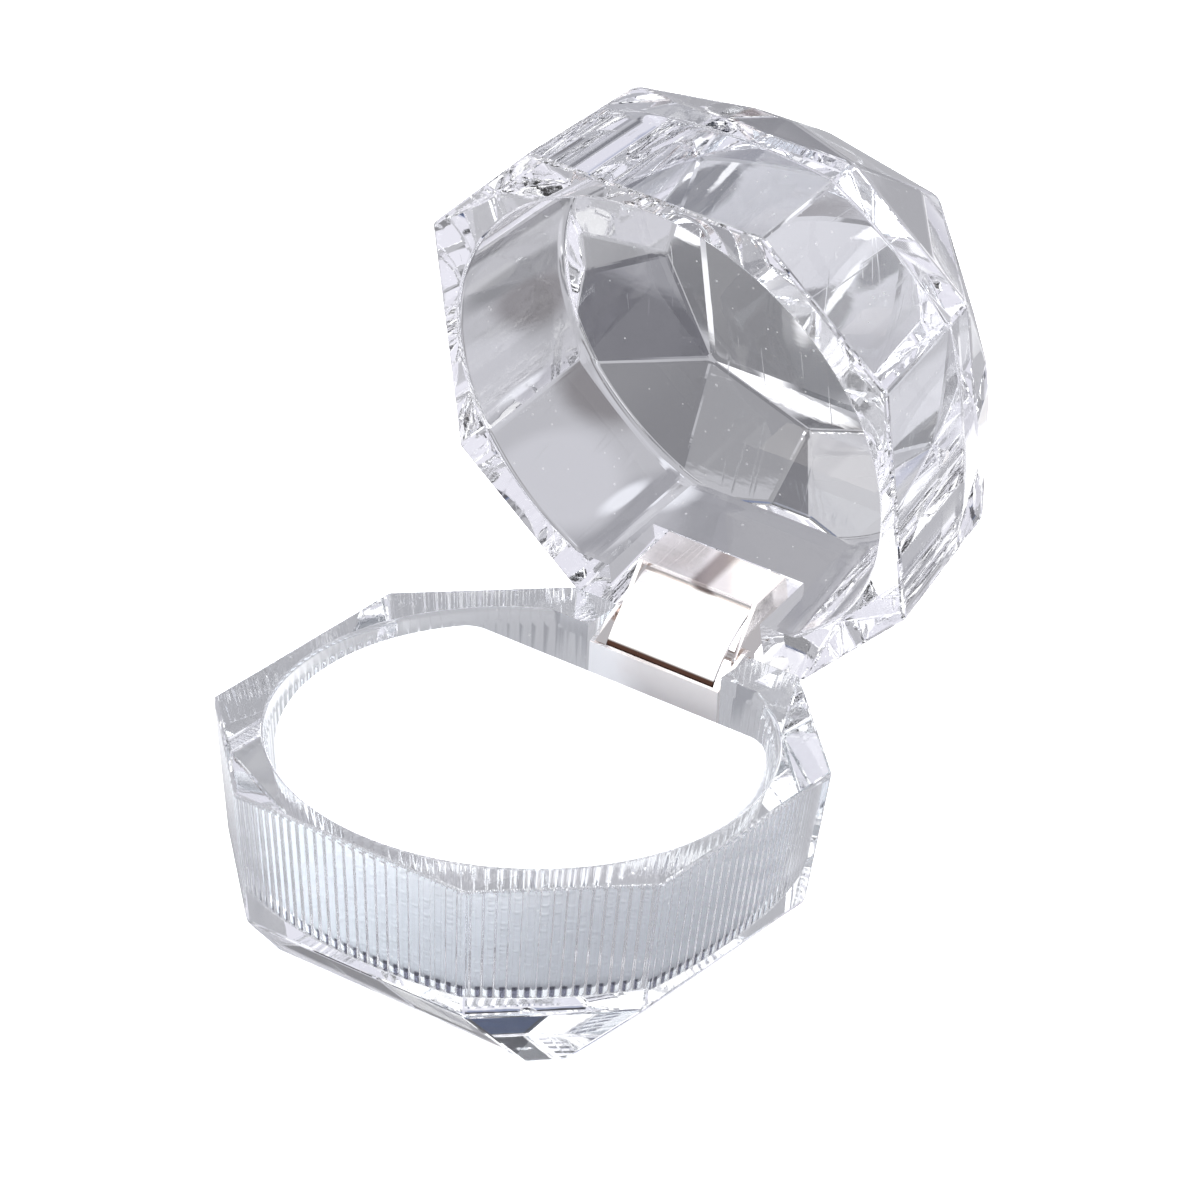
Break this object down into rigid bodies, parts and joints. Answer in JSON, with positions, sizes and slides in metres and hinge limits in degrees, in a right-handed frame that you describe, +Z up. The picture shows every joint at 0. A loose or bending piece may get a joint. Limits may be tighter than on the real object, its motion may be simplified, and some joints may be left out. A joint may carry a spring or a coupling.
{
  "type": "ring display box",
  "caption": "Clear faceted ring display box: ribbed octagonal base with a foam ring pad and a brilliant-cut lid standing open on a sprung metal hinge.",
  "frame": {"origin": "centre of the base's square foot, on the surface it stands on", "axes": "+Z up from the foot, +Y towards the hinge at the back, +X along the hinge pin"},
  "size_m": [0.04, 0.0598, 0.0569],
  "materials": {
    "clear_base": "clear moulded acrylic, polished outside, fine upright ribs inside",
    "clear_lid": "clear moulded acrylic, polished facets",
    "white_foam": "soft white flocked foam",
    "nickel": "bright nickel-plated sheet steel",
    "spring_steel": "bright nickel-plated spring steel"
  },
  "bodies": {
    "base": {"base_shell": "clear_base", "foam_pad": "white_foam", "hinge_base_leaf": "nickel", "hinge_pin": "nickel"},
    "lid": {"lid_shell": "clear_lid", "hinge_lid_leaf": "nickel"},
    "spring": {"hinge_spring": "spring_steel"}
  },
  "joints": [
    {"name": "lid_hinge", "type": "hinge", "parent": "base", "child": "lid", "pos_m": [0, 0.0196, 0.0168], "axis": [1, 0, 0], "range_deg": [0, 77.5]},
    {"name": "spring_swing", "type": "hinge", "parent": "base", "child": "spring", "pos_m": [0, 0.0196, 0.0168], "axis": [1, 0, 0], "range_deg": [0, 38.75]}
  ],
  "couplings": [
    {"joint": "spring_swing", "follows": "lid_hinge", "ratio": 0.5}
  ]
}
